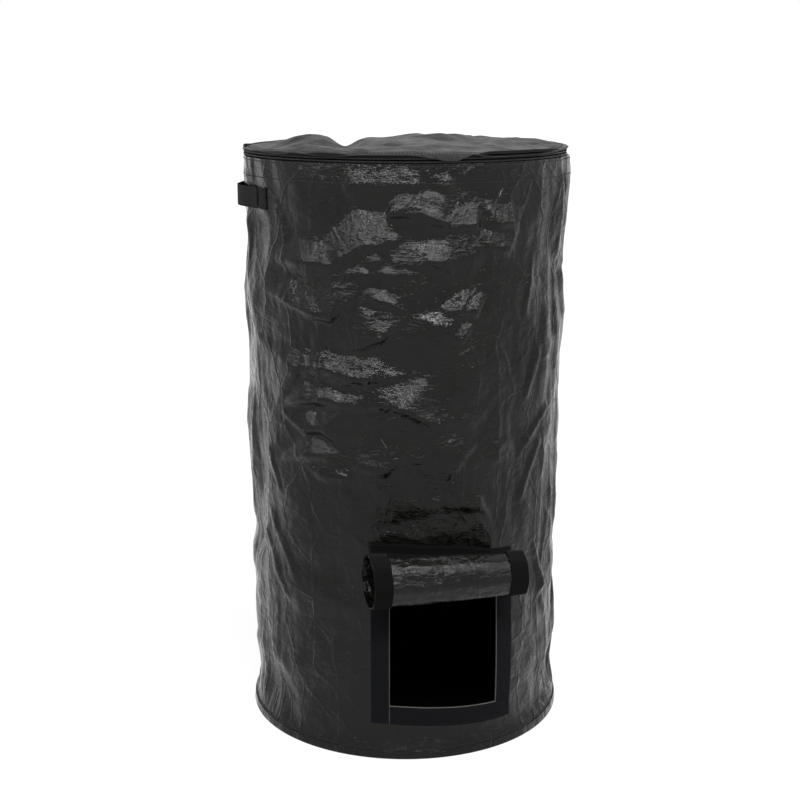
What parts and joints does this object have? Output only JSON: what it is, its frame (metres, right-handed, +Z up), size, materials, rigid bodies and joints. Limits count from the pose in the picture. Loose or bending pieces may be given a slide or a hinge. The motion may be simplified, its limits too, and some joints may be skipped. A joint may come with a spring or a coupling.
{
  "type": "compost bin",
  "caption": "Tall cylindrical soft compost bag of black coated woven sheet with a zip-on lid, side webbing handles and a low doorway under a rolled-up flap.",
  "frame": {"origin": "middle of the underside of the floor panel, which stands on the ground", "axes": "+Z up along the bin's axis; the doorway faces -Y; the handles are at -X and +X; the lid hinge is at +Y"},
  "size_m": [0.4712, 0.5295, 0.826],
  "materials": {
    "coated_sheet": "black coated woven sheet, glossy",
    "seam_tape": "black woven binding tape, dull",
    "hook_tape": "black hook tape, matt",
    "loop_tape": "black loop tape, matt pile",
    "webbing": "black webbing, dull",
    "zip_tape": "black zip tape, dull",
    "zip_coil": "black nylon coil",
    "slider_metal": "black enamelled metal"
  },
  "bodies": {
    "bin": {"door_hem": "coated_sheet", "flap_head_tape": "loop_tape", "flap_header": "coated_sheet", "floor_binding": "seam_tape", "floor_panel": "coated_sheet", "handle_left_front_tab": "webbing", "handle_left_rear_tab": "webbing", "handle_right_front_tab": "webbing", "handle_right_rear_tab": "webbing", "hook_tape_left": "hook_tape", "hook_tape_right": "hook_tape", "hook_tape_sill": "hook_tape", "lid_hinge_tape_lower": "seam_tape", "rim_hem": "coated_sheet", "wall_back_seam": "coated_sheet", "wall_panel": "coated_sheet", "zip_coil_lower": "zip_coil", "zip_stop_closed": "slider_metal", "zip_stop_open": "slider_metal", "zip_tape_lower": "zip_tape"},
    "lid": {"lid_hem": "coated_sheet", "lid_hinge_tape_upper": "seam_tape", "lid_panel": "coated_sheet", "zip_coil_upper": "zip_coil", "zip_tape_upper": "zip_tape"},
    "slider": {"zip_slider": "slider_metal", "zip_slider_crown": "slider_metal"},
    "pull": {"zip_pull": "slider_metal"},
    "handle_left": {"handle_left_loop": "webbing"},
    "handle_right": {"handle_right_loop": "webbing"},
    "flap_fold_1": {"flap_loop_left_1": "loop_tape", "flap_loop_right_1": "loop_tape", "flap_sheet_1": "coated_sheet"},
    "flap_fold_2": {"flap_loop_left_2": "loop_tape", "flap_loop_right_2": "loop_tape", "flap_sheet_2": "coated_sheet"},
    "flap_fold_3": {"flap_loop_left_3": "loop_tape", "flap_loop_right_3": "loop_tape", "flap_sheet_3": "coated_sheet"},
    "flap_fold_4": {"flap_loop_left_4": "loop_tape", "flap_loop_right_4": "loop_tape", "flap_sheet_4": "coated_sheet"},
    "flap_fold_5": {"flap_loop_left_5": "loop_tape", "flap_loop_right_5": "loop_tape", "flap_sheet_5": "coated_sheet"},
    "flap_fold_6": {"flap_loop_left_6": "loop_tape", "flap_loop_right_6": "loop_tape", "flap_sheet_6": "coated_sheet"},
    "flap_fold_7": {"flap_loop_left_7": "loop_tape", "flap_loop_right_7": "loop_tape", "flap_sheet_7": "coated_sheet"},
    "flap_fold_8": {"flap_loop_foot": "loop_tape", "flap_sheet_8": "coated_sheet"}
  },
  "joints": [
    {"name": "lid_hinge", "type": "hinge", "parent": "bin", "child": "lid", "pos_m": [0, 0.23, 0.8164], "axis": [-1, 0, 0], "range_deg": [0, 250]},
    {"name": "zip_slider_travel", "type": "hinge", "parent": "bin", "child": "slider", "pos_m": [0, 0, 0.8101], "axis": [0, 0, -1], "range_deg": [0, 309.26]},
    {"name": "zip_pull_swing", "type": "hinge", "parent": "slider", "child": "pull", "pos_m": [0.09768, 0.20602, 0.8101], "axis": [0.9036, -0.4284, 0], "range_deg": [0, 150]},
    {"name": "handle_left_swing", "type": "hinge", "parent": "bin", "child": "handle_left", "pos_m": [-0.21711, 0, 0.768], "axis": [0, 1, 0], "range_deg": [0, 40]},
    {"name": "handle_right_swing", "type": "hinge", "parent": "bin", "child": "handle_right", "pos_m": [0.21711, 0, 0.768], "axis": [0, -1, 0], "range_deg": [0, 40]},
    {"name": "flap_unroll", "type": "hinge", "parent": "bin", "child": "flap_fold_1", "pos_m": [0, -0.22855, 0.2755], "axis": [1, 0, 0], "range_deg": [0, 22.75]},
    {"name": "flap_unroll_2", "type": "hinge", "parent": "flap_fold_1", "child": "flap_fold_2", "pos_m": [0, -0.23931, 0.24984], "axis": [1, 0, 0], "range_deg": [0, 43.21]},
    {"name": "flap_unroll_3", "type": "hinge", "parent": "flap_fold_2", "child": "flap_fold_3", "pos_m": [0, -0.2647, 0.23851], "axis": [1, 0, 0], "range_deg": [0, 44.06]},
    {"name": "flap_unroll_4", "type": "hinge", "parent": "flap_fold_3", "child": "flap_fold_4", "pos_m": [0, -0.2908, 0.24802], "axis": [1, 0, 0], "range_deg": [0, 44.96]},
    {"name": "flap_unroll_5", "type": "hinge", "parent": "flap_fold_4", "child": "flap_fold_5", "pos_m": [0, -0.30254, 0.27316], "axis": [1, 0, 0], "range_deg": [0, 45.91]},
    {"name": "flap_unroll_6", "type": "hinge", "parent": "flap_fold_5", "child": "flap_fold_6", "pos_m": [0, -0.29266, 0.29905], "axis": [1, 0, 0], "range_deg": [0, 46.94]},
    {"name": "flap_unroll_7", "type": "hinge", "parent": "flap_fold_6", "child": "flap_fold_7", "pos_m": [0, -0.26703, 0.3095], "axis": [1, 0, 0], "range_deg": [0, 48.03]},
    {"name": "flap_unroll_8", "type": "hinge", "parent": "flap_fold_7", "child": "flap_fold_8", "pos_m": [0, -0.24215, 0.29745], "axis": [1, 0, 0], "range_deg": [0, 49.2]}
  ],
  "couplings": [
    {"joint": "flap_unroll_2", "follows": "flap_unroll", "ratio": 1.899},
    {"joint": "flap_unroll_3", "follows": "flap_unroll", "ratio": 1.9363},
    {"joint": "flap_unroll_4", "follows": "flap_unroll", "ratio": 1.9758},
    {"joint": "flap_unroll_5", "follows": "flap_unroll", "ratio": 2.0179},
    {"joint": "flap_unroll_6", "follows": "flap_unroll", "ratio": 2.0629},
    {"joint": "flap_unroll_7", "follows": "flap_unroll", "ratio": 2.1109},
    {"joint": "flap_unroll_8", "follows": "flap_unroll", "ratio": 2.1625}
  ]
}
